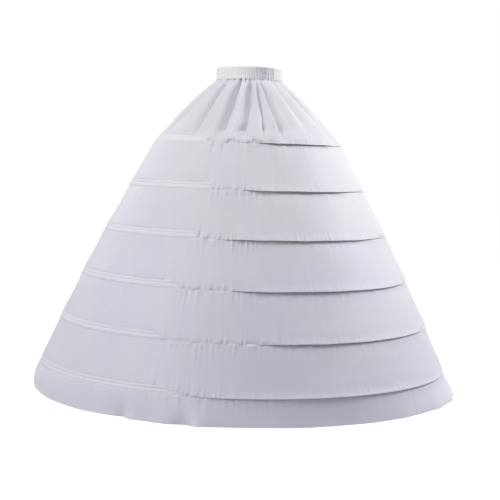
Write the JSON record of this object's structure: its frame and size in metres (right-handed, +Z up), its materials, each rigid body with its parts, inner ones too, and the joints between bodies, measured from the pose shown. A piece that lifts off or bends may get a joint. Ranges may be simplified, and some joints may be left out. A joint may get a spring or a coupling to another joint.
{
  "type": "hooped crinoline petticoat",
  "caption": "Round bell-shaped petticoat of white taffeta with an elastic waistband, a gathered yoke and sprung hoops in taped casings, to hold a full skirt out from the wearer.",
  "frame": {"origin": "centre of the hem circle on the floor", "axes": "+Z up the skirt to the waist, -Y to the front, +Y to the centre back where the hoops close"},
  "size_m": [1.1998, 1.2, 0.909],
  "materials": {
    "white_taffeta": "smooth plain-weave polyester taffeta, faint satin sheen, slightly translucent",
    "casing_tape": "plain-weave tape, stitched along both edges",
    "woven_elastic": "ribbed woven elastic, matt",
    "coated_steel": "white plastic-coated spring steel, semi-gloss",
    "connector_steel": "pressed zinc-plated steel"
  },
  "bodies": {
    "root": {"waistband": "white_taffeta", "waist_elastic": "woven_elastic", "yoke_panel": "white_taffeta", "tier_panel_1": "white_taffeta", "tier_panel_2": "white_taffeta", "tier_panel_3": "white_taffeta", "tier_panel_4": "white_taffeta", "tier_panel_5": "white_taffeta", "hem_flounce": "white_taffeta", "hoop_casing_1": "casing_tape", "hoop_casing_2": "casing_tape", "hoop_casing_3": "casing_tape", "hoop_casing_4": "casing_tape", "hoop_casing_5": "casing_tape", "hoop_casing_6": "casing_tape", "hoop_bone_1": "coated_steel", "hoop_bone_2": "coated_steel", "hoop_bone_3": "coated_steel", "hoop_bone_4": "coated_steel", "hoop_bone_5": "coated_steel", "hoop_bone_6": "coated_steel", "bone_connector_1": "connector_steel", "bone_connector_2": "connector_steel", "bone_connector_3": "connector_steel", "bone_connector_4": "connector_steel", "bone_connector_5": "connector_steel", "bone_connector_6": "connector_steel"}
  },
  "joints": []
}
